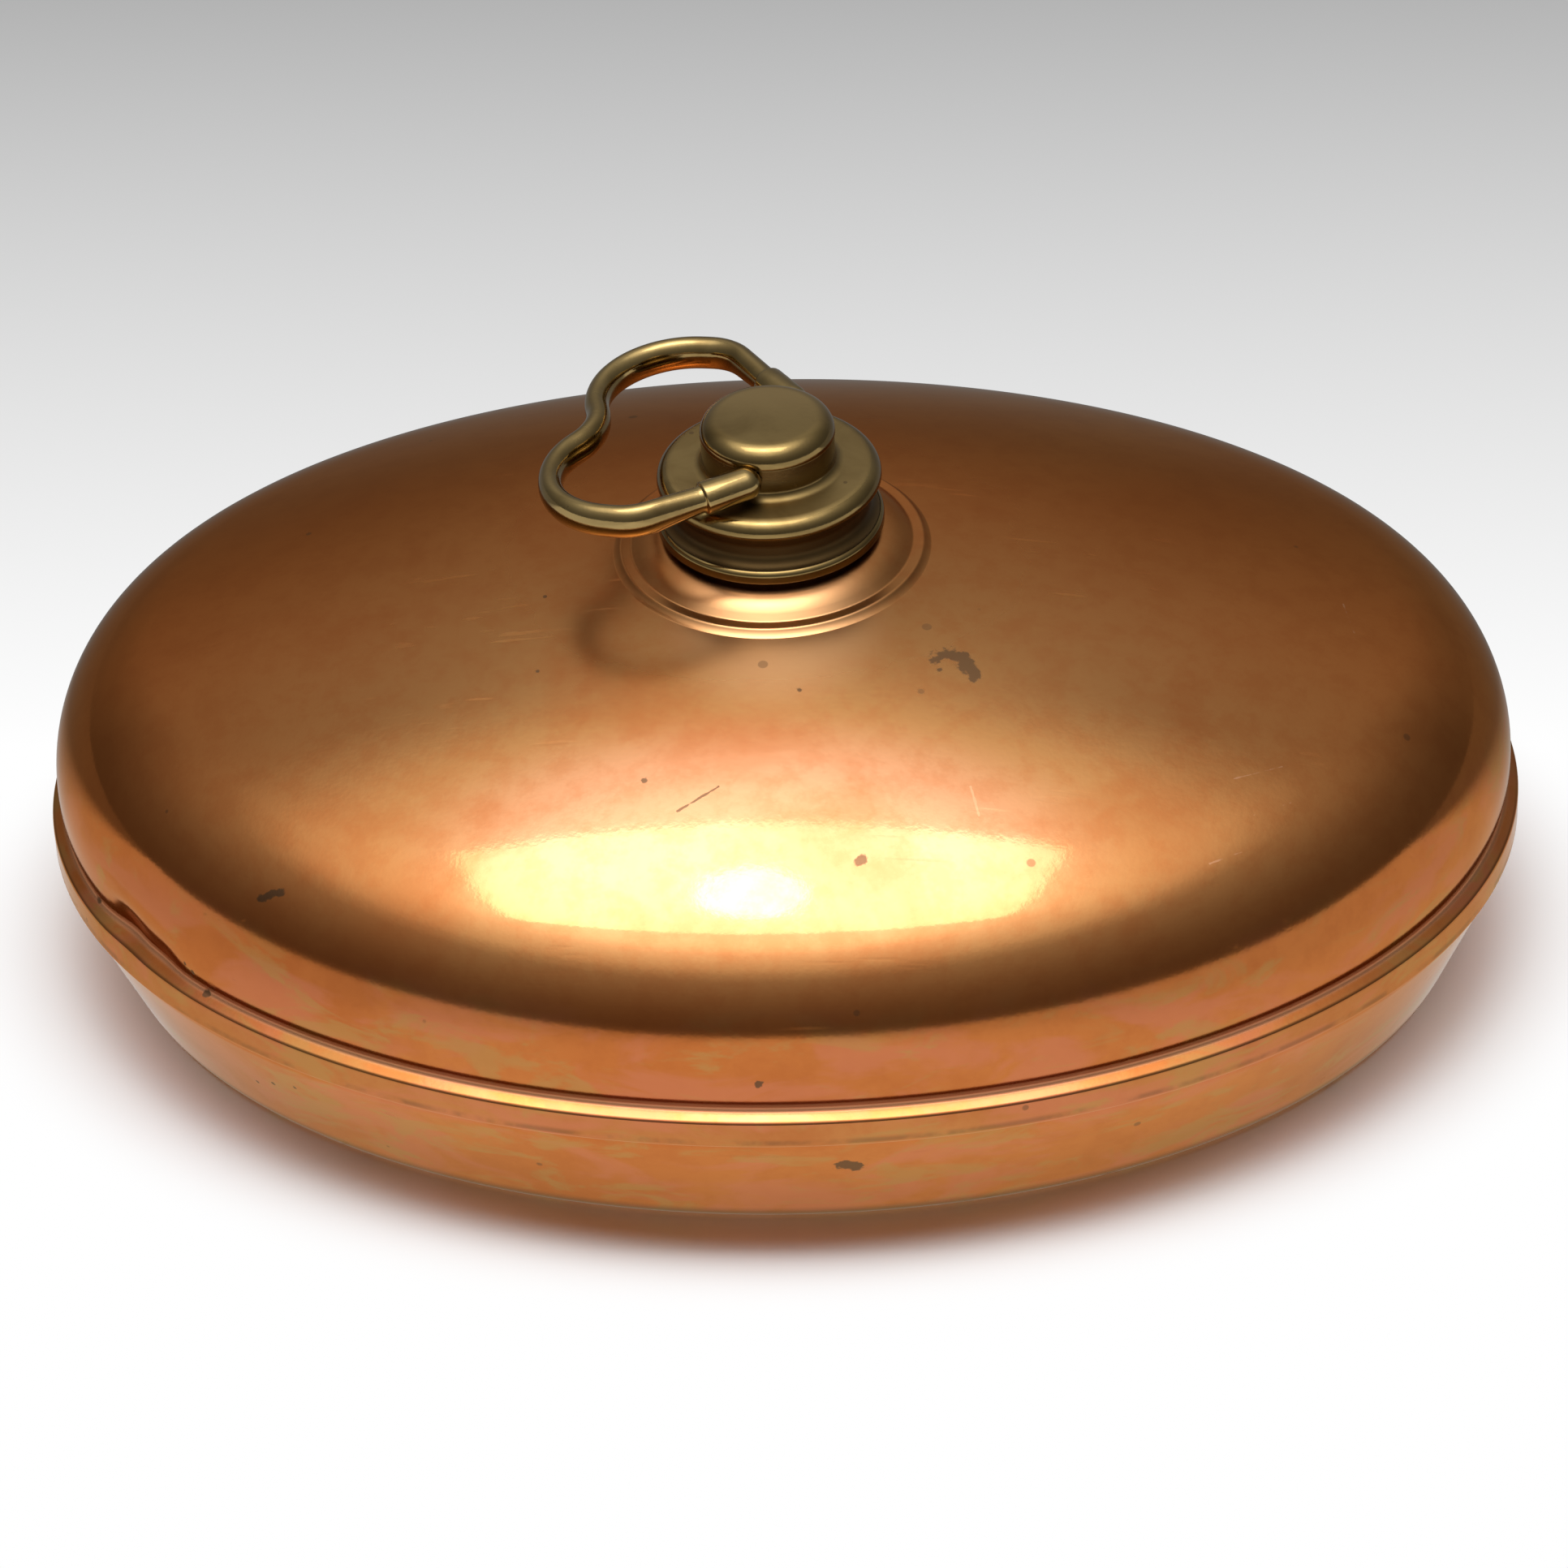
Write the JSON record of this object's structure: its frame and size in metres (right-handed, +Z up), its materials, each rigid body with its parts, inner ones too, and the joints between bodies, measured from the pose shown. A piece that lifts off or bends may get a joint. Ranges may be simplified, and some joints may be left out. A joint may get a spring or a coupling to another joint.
{
  "type": "hot water bottle",
  "caption": "Oval copper hot water bottle with a domed top, soldered lap seam, brass screw stopper and a swinging brass bail handle.",
  "frame": {"origin": "centre of the base, on the surface that the bottle stands on, under the filler neck", "axes": "+X along the oval body, +Y across it, +Z up through the filler neck and stopper"},
  "size_m": [0.2992, 0.2228, 0.1232],
  "materials": {
    "copper": "worn satin polish",
    "aged_brass": "aged satin",
    "bail_brass": "handled polish",
    "solder": "dull",
    "washer_leather": "oiled"
  },
  "bodies": {
    "bottle": {"lower_shell": "copper", "upper_shell": "copper", "seam_solder": "solder", "filler_neck": "aged_brass", "neck_solder": "solder"},
    "washer": {"stopper_washer": "washer_leather"},
    "stopper": {"stopper_body": "aged_brass", "knob_cap": "aged_brass"},
    "bail": {"bail_handle": "bail_brass"}
  },
  "joints": [
    {"name": "stopper_lift", "type": "slide", "parent": "bottle", "child": "washer", "axis": [0, 0, 1], "range_m": [0, 0.012]},
    {"name": "stopper_turn", "type": "hinge", "parent": "washer", "child": "stopper", "pos_m": [0, 0, 0.11], "axis": [0, 0, 1], "range_deg": [0, 1440]},
    {"name": "bail_swing", "type": "hinge", "parent": "stopper", "child": "bail", "pos_m": [0, 0, 0.1165], "axis": [0.2588, 0.9659, 0], "range_deg": [0, 191]}
  ],
  "couplings": [
    {"joint": "stopper_lift", "follows": "stopper_turn", "m_per_rad": 0.00047746}
  ]
}
